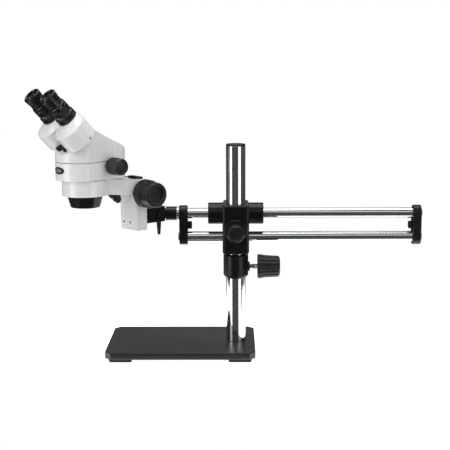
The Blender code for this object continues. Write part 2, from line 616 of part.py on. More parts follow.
def nose():
    """The black cone under the ring and the objective lens in its mouth."""
    top, bottom = RING_LOW - 2 * GAP, 293 * MM
    profile = [(34 * MM, top), (35.2 * MM, top - 1.5 * MM), (28.8 * MM, bottom + 1 * MM),
               (27.8 * MM, bottom), (24 * MM, bottom), (24 * MM, top)]
    dress(turned("nosepiece", profile, rack, (RING_X, 0, 0), ring=True, sides=FINE), "black_casting")
    lens = [(0, bottom + 6 * MM), (22.7 * MM, bottom + 6 * MM), (23.7 * MM, bottom + 5 * MM),
            (23.7 * MM, bottom + 3 * MM), (15 * MM, bottom + 1.8 * MM), (0, bottom + 1.2 * MM)]
    dress(turned("objective_lens", lens, rack, (RING_X, 0, 0)), "glass")


def badge():
    """A blank oval plate that follows the round front of the head."""
    oval = [(7 * MM * cos(2 * pi * k / 20), 16 * MM * sin(2 * pi * k / 20)) for k in range(20)]
    plate = slab("badge_plate", oval, 0, 0.08, rack, (HEAD_FRONT_X, 0, 369.5 * MM), ALONG_X)
    shell = tube("badge_shell", HEAD_FRONT_RADIUS + 1.6 * MM, HEAD_FRONT_RADIUS + 0.5 * MM, 0.35, 0.39, rack,
                 (HEAD_FRONT_X, 0, 0), edge=0, sides=48)
    dress(boolean(plate, shell, "INTERSECT"), "black_plastic")


def zoom():
    """The zoom shaft with a knob on each side, and the lens carriage that it drives."""
    centre = (ZOOM_X, 0, ZOOM_Z)
    reach = 62 * MM
    dress(rod("zoom_shaft", PINION_RADIUS, -reach, reach, rack, centre, ALONG_Y, edge=0.6 * MM), "steel")
    start, end, bore = 46.5 * MM, 83 * MM, PINION_RADIUS + GAP
    knob = [(0, end), (9 * MM, end - 0.4 * MM), (14.5 * MM, end - 2.5 * MM), (16.6 * MM, end - 6.5 * MM),
            (17.2 * MM, end - 14 * MM), (17.2 * MM, start + 2 * MM), (16 * MM, start), (bore, start),
            (bore, reach + GAP), (0, reach + GAP)]
    for label, turn in (("near", ALONG_Y), ("far", TO_FRONT)):
        dress(turned("zoom_knob_" + label, knob, rack, centre, turn, sides=FINE), "black_plastic")
    carriage = box("zoom_carriage", (172 * MM, -27 * MM, 392 * MM), (204 * MM, 27 * MM, 402 * MM), rack)
    bevelled(carriage, 3 * MM)
    for side in (-1, 1):
        drill(carriage, 9 * MM, 0.38, 0.42, rack, (188 * MM, side * 12.5 * MM, 0), sides=ROUND)
    dress(carriage, "black_plastic")


def prism_housing(label, side):
    """A drum that turns on the head, with a neck that rises to an eyepiece tube beside its axis."""
    drum = empty("drum_axis_" + label, (DRUM_X, side * DRUM_Y, DRUM_Z), (0, EYE_TILT, 0), rack)
    tube_at = Vector((-TUBE_UP, -side * TUBE_IN, 0))
    neck_height, neck_radius, sides, rings = 7.5 * MM, 20.4 * MM, FINE, 4

    shape = bmesh.new()
    sections = [(0, DRUM_RADIUS - 1 * MM, -DRUM_LENGTH), (0, DRUM_RADIUS, -DRUM_LENGTH + 1 * MM)]
    for step in range(rings + 1):
        share = step / rings
        rise = neck_height * (1 - cos(share * pi / 2) ** 1.4)
        spread = share ** 1.3
        radius = DRUM_RADIUS + (neck_radius - DRUM_RADIUS) * spread
        sections.append((spread, radius, rise - 3 * MM * (1 - share)))
    loops = []
    for share, radius, height in sections:
        middle = tube_at * share
        loops.append([shape.verts.new((middle.x + radius * cos(2 * pi * k / sides),
                                       middle.y + radius * sin(2 * pi * k / sides), height))
                      for k in range(sides)])
    for lower, upper in zip(loops, loops[1:]):
        for k in range(sides):
            following = (k + 1) % sides
            shape.faces.new((lower[k], lower[following], upper[following], upper[k]))
    shape.faces.new(reversed(loops[0]))
    shape.faces.new(loops[-1])
    mesh = bpy.data.meshes.new("prism_housing_" + label)
    shape.to_mesh(mesh)
    shape.free()
    housing = place("prism_housing_" + label, mesh, (0, 0, 0), (0, 0, 0), drum)
    place_tube = (tube_at.x, tube_at.y, 0)
    join(housing, rod("tube_stub", 16 * MM, 5 * MM, 20.3 * MM, drum, place_tube, edge=0.4 * MM))
    cut(housing, rod("drum_hollow", 28 * MM, -0.06, -6 * MM, drum, edge=1 * MM, sides=FINE))
    drill(housing, 14 * MM, -0.02, 0.04, drum, place_tube, sides=24)
    dress(housing, "white_paint", radians(40))

    glass = box("prism_" + label, (-15 * MM, -14 * MM, -36 * MM), (15 * MM, 14 * MM, -9 * MM), drum)
    dress(bevelled(glass, 1 * MM, 1), "glass")

    ring = [(19.2 * MM, 20.6 * MM), (20 * MM, 19.6 * MM), (20 * MM, 9 * MM), (19 * MM, 8 * MM),
            (16.3 * MM, 8 * MM), (16.3 * MM, 20.6 * MM)]
    dress(turned("diopter_ring_" + label, ring, drum, place_tube, ring=True, sides=24), "black_plastic")

    eyepiece = [(0, 67 * MM), (11 * MM, 67 * MM), (13 * MM, 66.5 * MM), (13 * MM, 58.7 * MM),
                (16.4 * MM, 58.7 * MM), (16.4 * MM, 45.5 * MM), (18.4 * MM, 44 * MM),
                (18.6 * MM, 26 * MM), (17.6 * MM, 23.1 * MM), (13.7 * MM, 23.1 * MM),
                (13.7 * MM, -1 * MM), (0, -1 * MM)]
    dress(turned("eyepiece_" + label, eyepiece, drum, place_tube, sides=24), "black_plastic")
    cup = [(14.8 * MM, 70.9 * MM), (16.6 * MM, 70.5 * MM), (17.8 * MM, 68.9 * MM), (17.4 * MM, 60.5 * MM),
           (16.2 * MM, 59 * MM), (13.3 * MM, 59 * MM), (13.3 * MM, 68 * MM)]
    dress(turned("eyecup_" + label, cup, drum, place_tube, ring=True, sides=24), "black_rubber")


base_plate()
feet()
pillar()
safety_collar()
carrier()
boom()
knuckle()
rack_column()
focus_knobs()
focus_arm()
screws()
head_base()
head_cover()
nose()
badge()
zoom()
prism_housing("near", 1)
prism_housing("far", -1)
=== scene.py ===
import json
from math import acos, asin, cos, pi, radians, sin, sqrt

import bmesh
import bpy
from mathutils import Matrix, Quaternion, Vector


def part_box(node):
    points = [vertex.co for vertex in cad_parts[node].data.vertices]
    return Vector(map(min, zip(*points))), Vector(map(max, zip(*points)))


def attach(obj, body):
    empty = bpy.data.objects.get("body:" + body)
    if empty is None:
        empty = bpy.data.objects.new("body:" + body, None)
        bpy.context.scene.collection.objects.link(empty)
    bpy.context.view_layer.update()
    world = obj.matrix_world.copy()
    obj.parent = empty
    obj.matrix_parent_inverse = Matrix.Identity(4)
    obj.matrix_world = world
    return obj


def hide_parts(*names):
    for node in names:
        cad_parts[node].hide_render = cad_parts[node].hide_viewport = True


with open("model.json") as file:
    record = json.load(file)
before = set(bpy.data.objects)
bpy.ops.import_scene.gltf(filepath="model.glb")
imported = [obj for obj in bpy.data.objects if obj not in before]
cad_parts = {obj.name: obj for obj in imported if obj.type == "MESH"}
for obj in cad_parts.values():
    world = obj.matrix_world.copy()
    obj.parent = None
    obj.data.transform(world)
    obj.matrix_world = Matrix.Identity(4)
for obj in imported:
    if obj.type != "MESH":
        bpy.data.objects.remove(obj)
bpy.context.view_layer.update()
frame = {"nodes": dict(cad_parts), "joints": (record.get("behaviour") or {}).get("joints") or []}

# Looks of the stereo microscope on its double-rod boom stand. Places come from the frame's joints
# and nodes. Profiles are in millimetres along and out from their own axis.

MM = 0.001

ROUND_SIDES = 128       # sides of a large smooth cylinder
SMALL_SIDES = 40        # sides of screws
CORNER_STEPS = 4        # points in a rounded corner of a profile

BOLT_HOLE = 5.3         # radius of a hole for a rod bolt
SCREW_HOLE = 5.4        # radius of a hole for a clamp screw
SHAFT_HOLE = 4.3        # radius of a hole for a shaft or a thumb screw
SOCKET_DEPTH = 17       # how far a rod bolt reaches into its rod


# --- frames ----------------------------------------------------------------------------

JOINTS = {joint["name"]: joint for joint in frame["joints"]}


def joint_at(name):
    return Vector(JOINTS[name]["pos_m"])


def joint_axis(name):
    return Vector(JOINTS[name]["axis"])


def frame_of(origin, x_axis, z_axis):
    """A matrix with its Z along z_axis and its X as near to x_axis as that allows."""
    z = Vector(z_axis).normalized()
    y = z.cross(Vector(x_axis)).normalized()
    x = y.cross(z)
    turned = Matrix((x, y, z)).transposed().to_4x4()
    return Matrix.Translation(origin) @ turned


UP = Vector((0, 0, 1))
RIGHT = Vector((1, 0, 0))
BASE_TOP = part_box("base_plate")[1].z


def at_height(point, z=BASE_TOP):
    return Vector((point.x, point.y, z))


STAND = Matrix.Translation(at_height(joint_at("boom_swivel")))
FORWARD = at_height(joint_at("head_turn"), 0) - at_height(joint_at("rack_swivel"), 0)
RACK = frame_of(at_height(joint_at("rack_swivel")), FORWARD, UP)
SIDE = joint_axis("focus_turn")
EYE = joint_axis("prism_near_turn")
DRUM = {side: frame_of(joint_at("prism_" + side + "_turn"), FORWARD, EYE) for side in ("near", "far")}


def on(place, location, z_axis=(0, 0, 1), x_axis=(1, 0, 0)):
    """A frame at a point in another frame, in millimetres, with its Z turned to z_axis there."""
    if abs(Vector(z_axis).normalized().dot(Vector(x_axis))) > 0.99:
        x_axis = (0, 0, 1)
    return place @ frame_of(Vector(location) * MM, x_axis, z_axis)


def span(node, place):
    """A node's lowest and highest corners in a frame, in millimetres."""
    back = place.inverted()
    points = [back @ corner.co for corner in frame["nodes"][node].data.vertices]
    return [Vector([pick(point[k] for point in points) for k in range(3)]) / MM for pick in (min, max)]


# --- materials -------------------------------------------------------------------------

OWN_FRAME = "own_frame"      # where each piece keeps its points' places in its own frame
WORN_FROM, WORN_TO = 0.52, 0.62      # pointiness of an edge where wear starts, and where it is full
WORN_MOST = 0.55             # share of the bare tone at a fully worn edge


def shader_of(name, colour, roughness, metallic=0.0, **fixed):
    made = bpy.data.materials.new(name)
    made.use_nodes = True
    shader = made.node_tree.nodes["Principled BSDF"]
    shader.inputs["Base Color"].default_value = (*colour, 1)
    shader.inputs["Roughness"].default_value = roughness
    shader.inputs["Metallic"].default_value = metallic
    for socket, value in fixed.items():
        shader.inputs[socket.replace("_", " ")].default_value = value
    return made, made.node_tree, shader


def noise(tree, scale, detail=3.0, stretch=None):
    """Noise that is drawn out along the axes with a small stretch, in the piece's own frame."""
    made = tree.nodes.new("ShaderNodeTexNoise")
    made.inputs["Scale"].default_value = scale
    made.inputs["Detail"].default_value = detail
    if stretch:
        where = tree.nodes.new("ShaderNodeAttribute")
        where.attribute_name = OWN_FRAME
        scaled = tree.nodes.new("ShaderNodeMapping")
        scaled.inputs["Scale"].default_value = stretch
        tree.links.new(where.outputs["Vector"], scaled.inputs["Vector"])
        tree.links.new(scaled.outputs["Vector"], made.inputs["Vector"])
    else:
        where = tree.nodes.new("ShaderNodeTexCoord")
        tree.links.new(where.outputs["Object"], made.inputs["Vector"])
    return made.outputs["Fac"]


def ranged(tree, value, low, high, start=0.3, end=0.7):
    made = tree.nodes.new("ShaderNodeMapRange")
    for socket, number in (("From Min", start), ("From Max", end), ("To Min", low), ("To Max", high)):
        made.inputs[socket].default_value = number
    tree.links.new(value, made.inputs["Value"])
    return made.outputs["Result"]


def tinted(tree, shader, value, dark, light):
    """Colour between two tones, led by a value from 0 to 1."""
    mix = tree.nodes.new("ShaderNodeMix")
    mix.data_type = "RGBA"
    mix.inputs["A"].default_value = (*dark, 1)
    mix.inputs["B"].default_value = (*light, 1)
    tree.links.new(value, mix.inputs["Factor"])
    tree.links.new(mix.outputs["Result"], shader.inputs["Base Color"])
    return mix


def worn(tree, shader, mix, tone):
    """Lightens convex edges, where the finish rubs thin."""
    shape = tree.nodes.new("ShaderNodeNewGeometry")
    edge = ranged(tree, shape.outputs["Pointiness"], 0.0, WORN_MOST, WORN_FROM, WORN_TO)
    over = tree.nodes.new("ShaderNodeMix")
    over.data_type = "RGBA"
    over.inputs["B"].default_value = (*tone, 1)
    tree.links.new(edge, over.inputs["Factor"])
    tree.links.new(mix.outputs["Result"], over.inputs["A"])
    tree.links.new(over.outputs["Result"], shader.inputs["Base Color"])


def bumped(tree, shader, value, height):
    bump = tree.nodes.new("ShaderNodeBump")
    bump.inputs["Distance"].default_value = height * MM
    tree.links.new(value, bump.inputs["Height"])
    tree.links.new(bump.outputs["Normal"], shader.inputs["Normal"])


def finish_of(name, dark, light, rough, grain, height, metallic=0.0, mottle=40, stretch=None,
              wear=None, **fixed):
    """A finish with mottled colour, uneven gloss and a fine grain."""
    made, tree, shader = shader_of(name, light, rough[0], metallic, **fixed)
    mix = tinted(tree, shader, ranged(tree, noise(tree, mottle), 0, 1), dark, light)
    tree.links.new(ranged(tree, noise(tree, mottle * 3.3), *rough), shader.inputs["Roughness"])
    bumped(tree, shader, noise(tree, grain, 2.0, stretch), height)
    if wear:
        worn(tree, shader, mix, wear)
    return made


ROUND_LINES = (0.02, 0.02, 1)      # grain that runs round a turned piece

BASE_COAT = finish_of("powder_coat", (0.009, 0.009, 0.0095), (0.012, 0.012, 0.0125), (0.30, 0.38),
                      1600, 0.04, wear=(0.03, 0.03, 0.03))
CASTING = finish_of("black_enamel", (0.0035, 0.0035, 0.004), (0.006, 0.006, 0.0065), (0.26, 0.36),
                    420, 0.05, wear=(0.02, 0.02, 0.02), Specular_IOR_Level=0.3)
PLASTIC = finish_of("moulded_plastic", (0.005, 0.005, 0.005), (0.009, 0.009, 0.009), (0.36, 0.48),
                    1500, 0.04, Specular_IOR_Level=0.4)
KNOB = finish_of("knob_plastic", (0.006, 0.006, 0.006), (0.011, 0.011, 0.011), (0.34, 0.46),
                 1300, 0.04, wear=(0.03, 0.03, 0.03), Specular_IOR_Level=0.45)
RUBBER = finish_of("foot_rubber", (0.004, 0.004, 0.004), (0.008, 0.008, 0.008), (0.65, 0.82),
                   900, 0.08, Specular_IOR_Level=0.35)
SOFT_RUBBER = finish_of("eyecup_rubber", (0.004, 0.004, 0.004), (0.008, 0.008, 0.008), (0.22, 0.32),
                        1200, 0.03, Specular_IOR_Level=0.5)
CHROME = finish_of("hard_chrome", (0.66, 0.68, 0.69), (0.72, 0.74, 0.75), (0.08, 0.13),
                   5000, 0.004, metallic=1.0, stretch=ROUND_LINES)
STEEL = finish_of("machined_steel", (0.40, 0.40, 0.41), (0.52, 0.52, 0.53), (0.24, 0.36),
                  4000, 0.02, metallic=1.0, stretch=ROUND_LINES)
PLAIN_STEEL = finish_of("plain_steel", (0.40, 0.40, 0.41), (0.52, 0.52, 0.53), (0.24, 0.36),
                        2500, 0.02, metallic=1.0)
ENAMEL = finish_of("white_enamel", (0.700, 0.706, 0.702), (0.735, 0.741, 0.737), (0.22, 0.31),
                   330, 0.02, Coat_Weight=0.25, Coat_Roughness=0.15)
ANODISED = finish_of("black_anodised", (0.004, 0.004, 0.0045), (0.008, 0.008, 0.0085), (0.20, 0.30),
                     3800, 0.02, stretch=ROUND_LINES, Specular_IOR_Level=0.5)
BADGE_FIELD = finish_of("badge_field", (0.30, 0.30, 0.30), (0.42, 0.42, 0.42), (0.25, 0.35),
                        900, 0.03, metallic=0.6)
COATED_GLASS = finish_of("coated_glass", (0.012, 0.016, 0.020), (0.016, 0.022, 0.028), (0.02, 0.05),
                         60, 0.002, Coat_Weight=1.0, Coat_Roughness=0.02)


# --- building blocks -------------------------------------------------------------------

def made_object(name, shape, place):
    """An object from a bmesh in millimetres."""
    bmesh.ops.scale(shape, vec=(MM, MM, MM), verts=shape.verts)
    bmesh.ops.recalc_face_normals(shape, faces=shape.faces)
    mesh = bpy.data.meshes.new(name)
    shape.to_mesh(mesh)
    shape.free()
    made = bpy.data.objects.new(name, mesh)
    bpy.context.scene.collection.objects.link(made)
    made.matrix_world = place
    return made


def settle(piece):
    """Applies the piece's modifiers."""
    bpy.context.view_layer.update()
    graph = bpy.context.evaluated_depsgraph_get()
    mesh = bpy.data.meshes.new_from_object(piece.evaluated_get(graph))
    piece.modifiers.clear()
    piece.data = mesh
    return piece


def softened(profile, radius):
    """A profile with its inner corners rounded."""
    points = [Vector(point) for point in profile]
    out = [points[0]]
    for before, corner, after in zip(points, points[1:], points[2:]):
        back, ahead = before - corner, after - corner
        reach = min(radius, back.length * 0.45, ahead.length * 0.45)
        start, end = corner + back.normalized() * reach, corner + ahead.normalized() * reach
        for step in range(CORNER_STEPS + 1):
            t = step / CORNER_STEPS
            out.append(start * (1 - t) ** 2 + corner * (2 * t * (1 - t)) + end * t ** 2)
    return out + [points[-1]]


def filled_in(profile, step):
    """A profile with extra points, so that ribs can start and stop along it."""
    out = [profile[0]]
    for before, after in zip(profile, profile[1:]):
        count = max(1, int((after - before).length / step))
        out += [before.lerp(after, k / count) for k in range(1, count + 1)]
    return out


def ribbed(count, depth, low, high, power=1.0, inner=0.0, fade=0.8):
    """How much radius a rib takes away at an angle and height; power above 1 makes narrow grooves."""
    def taken(angle, radius, height):
        if radius < inner or height < low or height > high:
            return 0.0
        edge = min(1.0, (height - low) / fade, (high - height) / fade)
        return depth * edge * ((1 + cos(count * angle)) / 2) ** power
    return taken


def lathe(name, place, profile, sides=ROUND_SIDES, soft=0.5, ribs=None, closed=False, step=1.2):
    """A profile of (radius, height) turned about Z. A closed profile makes a ring."""
    points = [Vector(point) for point in profile]
    if closed:
        seam = (points[-1] + points[0]) / 2
        points = softened([seam] + points + [seam], soft)[:-1]
    else:
        points = softened(points, soft)
    if ribs:
        points = filled_in(points, step)
    shape = bmesh.new()
    loops = []
    for radius, height in points:
        if radius < 1e-6:
            loops.append([shape.verts.new((0, 0, height))])
            continue
        loop = []
        for k in range(sides):
            angle = 2 * pi * k / sides
            r = radius - (ribs(angle, radius, height) if ribs else 0)
            loop.append(shape.verts.new((r * cos(angle), r * sin(angle), height)))
        loops.append(loop)
    pairs = list(zip(loops, loops[1:])) + ([(loops[-1], loops[0])] if closed else [])
    for upper, lower in pairs:
        for k in range(sides):
            following = (k + 1) % sides
            corners = [upper[k % len(upper)], upper[following % len(upper)],
                       lower[following % len(lower)], lower[k % len(lower)]]
            corners = [c for n, c in enumerate(corners) if c not in corners[:n]]
            if len(corners) > 2:
                shape.faces.new(corners)
    return made_object(name, shape, place)


def extruded(name, place, outline, low, high):
    """A flat outline of (x, y) points, from low to high along Z."""
    shape = bmesh.new()
    bottom = [shape.verts.new((x, y, low)) for x, y in outline]
    top = [shape.verts.new((x, y, high)) for x, y in outline]
    shape.faces.new(bottom)
    shape.faces.new(top)
    for k in range(len(outline)):
        following = (k + 1) % len(outline)
        shape.faces.new((bottom[k], bottom[following], top[following], top[k]))
    return made_object(name, shape, place)


def block(name, place, low, high):
    outline = [(low[0], low[1]), (high[0], low[1]), (high[0], high[1]), (low[0], high[1])]
    return extruded(name, place, outline, low[2], high[2])


def shaped(piece, tool, operation="DIFFERENCE"):
    """Cuts or joins with a tool, which is then thrown away."""
    modifier = piece.modifiers.new("shape", "BOOLEAN")
    modifier.operation, modifier.solver, modifier.object = operation, "EXACT", tool
    settle(piece)
    bpy.data.objects.remove(tool)
    return piece


def joined(piece, *tools):
    for tool in tools:
        shaped(piece, tool, "UNION")
    return piece


def bored(piece, place, radius, low, high, sides=ROUND_SIDES):
    tool = lathe("bore", place, [(0, high), (radius, high), (radius, low), (0, low)], sides, soft=0.001)
    return shaped(piece, tool)


def eased(piece, width, segments=3, angle=30):
    """Rounds the piece's sharp edges."""
    bevel = piece.modifiers.new("edges", "BEVEL")
    bevel.width, bevel.segments = width * MM, segments
    bevel.limit_method, bevel.angle_limit = "ANGLE", radians(angle)
    return settle(piece)


def arc(centre, radius, start, end, steps):
    return [(centre[0] + radius * cos(start + (end - start) * k / steps),
             centre[1] + radius * sin(start + (end - start) * k / steps)) for k in range(steps + 1)]


def belt(front, front_radius, back, back_radius, steps=48):
    """The outline of a belt round two circles on the X axis."""
    lean = acos((front_radius - back_radius) / (front - back))
    return (arc((front, 0), front_radius, -lean, lean, steps)
            + arc((back, 0), back_radius, lean, 2 * pi - lean, steps))


def planted(piece):
    """Moves the piece's place into its points, which keep their places in its own frame."""
    own = piece.data.attributes.new(OWN_FRAME, "FLOAT_VECTOR", "POINT")
    own.data.foreach_set("vector", [k for point in piece.data.vertices for k in point.co])
    piece.data.transform(piece.matrix_world)
    piece.matrix_world = Matrix()


def show(piece, material, body, slot, *nodes, sharp=32):
    """Dresses a piece, ties it to its body and hides the CAD nodes that it stands for. The slot is not used.
    """
    planted(piece)
    piece.data.materials.clear()
    piece.data.materials.append(material)
    piece.data.shade_smooth()
    piece.data.set_sharp_from_angle(angle=radians(sharp))
    weighted = piece.modifiers.new("even", "WEIGHTED_NORMAL")
    weighted.keep_sharp = True
    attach(piece, body)
    if nodes:
        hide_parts(*nodes)
    return piece


def kept(node, material):
    """A CAD node that stays, in a better finish."""
    mesh = frame["nodes"][node].data
    mesh.materials.clear()
    mesh.materials.append(material)


# --- stand -----------------------------------------------------------------------------

def base_plate():
    low, high = span("base_plate", STAND)
    corner = 12
    outline = []
    for x, y, sx, sy in ((high.x, low.y, 1, -1), (high.x, high.y, 1, 1), (low.x, high.y, -1, 1),
                         (low.x, low.y, -1, -1)):
        along, across = (x - sx * corner, y), (x, y - sy * corner)
        outline += [along, across] if sx * sy < 0 else [across, along]
    plate = eased(extruded("coated_plate", STAND, outline, low.z, high.z), 1.5, 4, 20)
    bored(plate, STAND, 13, low.z - 1, -6.5)
    bored(plate, STAND, 6.5, low.z - 1, 1)
    show(plate, BASE_COAT, "stand", "base_paint", "base_plate")


def feet():
    """Rubber feet whose sides lean in to the bench."""
    for corner in ("front_left", "front_right", "back_left", "back_right"):
        low, high = span("foot_" + corner, STAND)
        foot = block("moulded_foot_" + corner, STAND, low, high)
        middle, lean = (low + high) / 2, 3 * MM
        for point in foot.data.vertices:
            if point.co.z < middle.z * MM:
                point.co.x -= lean if point.co.x > middle.x * MM else -lean
                point.co.y -= lean if point.co.y > middle.y * MM else -lean
        show(eased(foot, 1.4, 4), RUBBER, "stand", "foot_rubber", "foot_" + corner)


def pillar():
    low, high = span("pillar", STAND)
    radius = high.x
    profile = [(0, high.z), (radius, high.z), (radius, low.z), (0, low.z)]
    post = lathe("chromed_pillar", STAND, profile, soft=0.8)
    bored(post, STAND, 6.3, -1, 28, 48)
    show(post, CHROME, "stand", "chrome", "pillar")
    low, high = span("pillar_cap", STAND)
    cap = [(0, high.z), (radius - 1.4, high.z - 0.2), (radius, high.z - 1.6), (radius, low.z), (0, low.z)]
    show(lathe("domed_cap", STAND, cap, soft=0.7), PLASTIC, "stand", "black_plastic", "pillar_cap")
    kept("pillar_bolt", PLAIN_STEEL)


def threaded(radius, low, high, pitch, depth):
    """The outline of a threaded stretch, from high down to low."""
    out = []
    for k in range(int((high - low) / pitch)):
        out += [(radius, high - k * pitch), (radius - depth, high - (k + 0.5) * pitch)]
    return out + [(radius, low)]


def safety_collar():
    low, high = span("safety_collar", STAND)
    outer, inner = -low.x, 20.3
    ring = lathe("turned_collar", STAND,
                 [(outer - 3, high.z), (outer, high.z - 3), (outer, low.z + 5.5), (outer - 4, low.z),
                  (inner, low.z), (inner, high.z)], closed=True)
    axle = frame_of(joint_at("collar_clamp_turn"), UP, RIGHT)
    stand_off = (joint_at("collar_clamp_turn") - STAND.translation).x / MM
    boss = lathe("boss", axle, [(0, 29 - stand_off), (10, 29 - stand_off), (10, 21 - stand_off),
                                (0, 21 - stand_off)], 64, soft=1.0)
    joined(ring, boss)
    bored(ring, axle, SCREW_HOLE, 15 - stand_off, 40 - stand_off, 48)
    show(ring, CASTING, "collar", "black_casting", "safety_collar")

    tip, root = 21 - stand_off, 60 - stand_off
    screw = [(0, root), (5, root)] + threaded(5, tip + 1, root - 1, 1.5, 0.45) + [(4, tip), (0, tip)]
    show(lathe("threaded_collar_screw", axle, screw, 48, soft=0.2), STEEL, "collar_clamp", "steel",
         "collar_screw")

    end = span("collar_knob", axle)[1].z
    grip = [(0, end - 1.2), (9, end - 1.2), (10, end), (17.5, end), (21.8, end - 3), (23, 18), (25.3, 4),
            (24.4, 0), (8, 0), (5.3, 0), (5.3, root + 0.3), (0, root + 0.3)]
    flutes = ribbed(14, 1.7, 2, end - 2.5, 2.2, inner=15, fade=2.5)
    knob = lathe("fluted_collar_knob", axle, grip, 224, soft=1.2, ribs=flutes)
    show(knob, PLASTIC, "collar_clamp", "black_plastic", "collar_knob", sharp=50)


# --- carrier and boom ------------------------------------------------------------------

BORE = 20.3                                       # clear of the pillar
ROD_Y = (span("upper_rod", STAND)[0].y + span("upper_rod", STAND)[1].y) / 2
ROD_UPPER = (span("upper_rod", STAND)[0].z + span("upper_rod", STAND)[1].z) / 2
ROD_LOWER = (span("lower_rod", STAND)[0].z + span("lower_rod", STAND)[1].z) / 2
ROD_RADIUS = (span("upper_rod", STAND)[1].z - span("upper_rod", STAND)[0].z) / 2


def along_boom(height):
    return on(STAND, (0, ROD_Y, height), (1, 0, 0))


def carrier():
    low, high = span("carrier_block", STAND)
    half, front, back = 27.2, -28, high.y
    body = eased(block("cast_carrier", STAND, (-half, front, low.z), (half, back, high.z)), 5.5, 6)
    reach, housing_radius = high.x, 22.5
    housing = lathe("housing", along_boom(ROD_UPPER),
                    [(0, reach), (housing_radius, reach), (housing_radius, -reach), (0, -reach)],
                    soft=1.6)
    knob_axis = frame_of(joint_at("carrier_clamp_turn"), UP, joint_axis("carrier_clamp_turn"))
    back_off = (STAND.translation - joint_at("carrier_clamp_turn")).y / MM
    boss_end = -low.y - back_off
    boss_start, boss_radius = 20 - back_off, 23
    boss = lathe("boss", knob_axis, [(0, boss_end), (boss_radius, boss_end), (boss_radius, boss_start),
                                     (0, boss_start)], soft=2.2)
    joined(body, housing, boss)
    bored(body, STAND, BORE, low.z - 5, high.z + 5)
    for height in (ROD_UPPER, ROD_LOWER):
        bored(body, along_boom(height), 15, -90, 90)
    bored(body, knob_axis, SCREW_HOLE, 10 - back_off, 60 - back_off, 48)
    show(body, CASTING, "carrier", "black_casting", "carrier_block")

    for node, height in (("upper_bush_left", ROD_UPPER), ("upper_bush_right", ROD_UPPER),
                         ("lower_bush", ROD_LOWER)):
        start, end = (corner.x for corner in span(node, STAND))
        bush = lathe(node + "_turned", along_boom(height),
                     [(14.7, end), (14.7, start), (11.25, start), (11.25, end)], 96, soft=0.4, closed=True)
        show(bush, STEEL, "carrier", "steel", node)

    tip, root = 21 - back_off, 60 - back_off
    screw = [(0, root), (5, root), (5, tip + 1), (4, tip), (0, tip)]
    show(lathe("turned_lock_screw", knob_axis, screw, 48, soft=0.3), STEEL, "carrier_clamp", "steel",
         "carrier_lock_screw")
    end = span("carrier_lock_knob", knob_axis)[1].z
    grip = [(0, end - 1.5), (11.8, end - 1.5), (12.8, end), (15.2, end), (17.5, end - 3), (17.5, 2), (16, 0),
            (5.3, 0), (5.3, root + 0.3), (0, root + 0.3)]
    ribs = ribbed(36, 0.6, 3, end - 4, 1.3, inner=14)
    show(lathe("ribbed_lock_knob", knob_axis, grip, 216, soft=0.9, ribs=ribs), PLASTIC, "carrier_clamp",
         "black_plastic", "carrier_lock_knob", sharp=50)


def hexagon(radius):
    return [(radius * cos(pi * k / 3), radius * sin(pi * k / 3)) for k in range(6)]


def socket_bolt(name, node, place, head_low, head_high, radius, shank, tip):
    """A cap screw with a hexagon socket."""
    profile = [(0, head_high), (radius, head_high), (radius, head_low), (shank, head_low), (shank, tip),
               (0, tip)]
    bolt = lathe(name, place, profile, 64, soft=0.6)
    shaped(bolt, extruded("socket", place, hexagon(radius * 0.5), head_high - 1.9, head_high + 1))
    show(bolt, STEEL, "boom", "steel", node)


def boom():
    for node, height in (("upper_rod", ROD_UPPER), ("lower_rod", ROD_LOWER)):
        start, end = (corner.x for corner in span(node, STAND))
        place = along_boom(height)
        profile = [(0, end), (ROD_RADIUS, end), (ROD_RADIUS, start), (0, start)]
        bar = lathe("chromed_" + node, place, profile, soft=0.6)
        bored(bar, place, BOLT_HOLE, start - 1, start + SOCKET_DEPTH, 48)
        bored(bar, place, BOLT_HOLE, end - SOCKET_DEPTH, end + 1, 48)
        show(bar, CHROME, "boom", "chrome", node)

    for side in ("left", "right"):
        low, high = span("link_plate_" + side, STAND)
        radius, middle = (high.y - low.y) / 2, (low.z + high.z) / 2
        reach = (high.z - low.z) / 2 - radius
        place = on(STAND, (0, ROD_Y, middle), (1, 0, 0), (0, 0, 1))
        outline = (arc((reach, 0), radius, -pi / 2, pi / 2, 40)
                   + arc((-reach, 0), radius, pi / 2, 3 * pi / 2, 40))
        plate = eased(extruded("cast_link_" + side, place, outline, low.x, high.x), 1.8, 4)
        for offset in (ROD_UPPER - middle, ROD_LOWER - middle):
            bored(plate, on(place, (offset, 0, 0)), BOLT_HOLE, low.x - 1, high.x + 1, 48)
        show(plate, CASTING, "boom", "black_casting", "link_plate_" + side)

    for node, height, way in (("rod_bolt_lower_left", ROD_LOWER, -1), ("rod_bolt_upper_right", ROD_UPPER, 1),
                              ("rod_bolt_lower_right", ROD_LOWER, 1)):
        place = on(STAND, (0, ROD_Y, height), (way, 0, 0))
        low, high = span(node, place)
        socket_bolt("socket_" + node, node, place, high.z - 2.3, high.z, 8.4, 5, low.z)

    for side in ("left", "right"):
        place = along_boom((ROD_UPPER + ROD_LOWER) / 2)
        low, high = span("bumper_" + side, place)
        radius = 8
        pad = [(0, high.z), (radius, high.z), (radius, low.z), (0, low.z)]
        show(lathe("rubber_bumper_" + side, place, pad, 72, soft=1.6), RUBBER, "boom", "foot_rubber",
             "bumper_" + side)

    place = on(STAND, (0, ROD_Y, ROD_UPPER), (-1, 0, 0))
    low, high = span("spigot", place)
    face = span("link_plate_left", place)[1].z + 0.3
    flange, flange_end = 14.2, face + 5
    pin = [(0, high.z), (ROD_RADIUS, high.z), (ROD_RADIUS, flange_end), (flange, flange_end),
           (flange, face), (5, face), (5, low.z), (0, low.z)]
    show(lathe("turned_spigot", place, pin, 96, soft=0.6), CHROME, "boom", "chrome", "spigot")


# --- knuckle ---------------------------------------------------------------------------

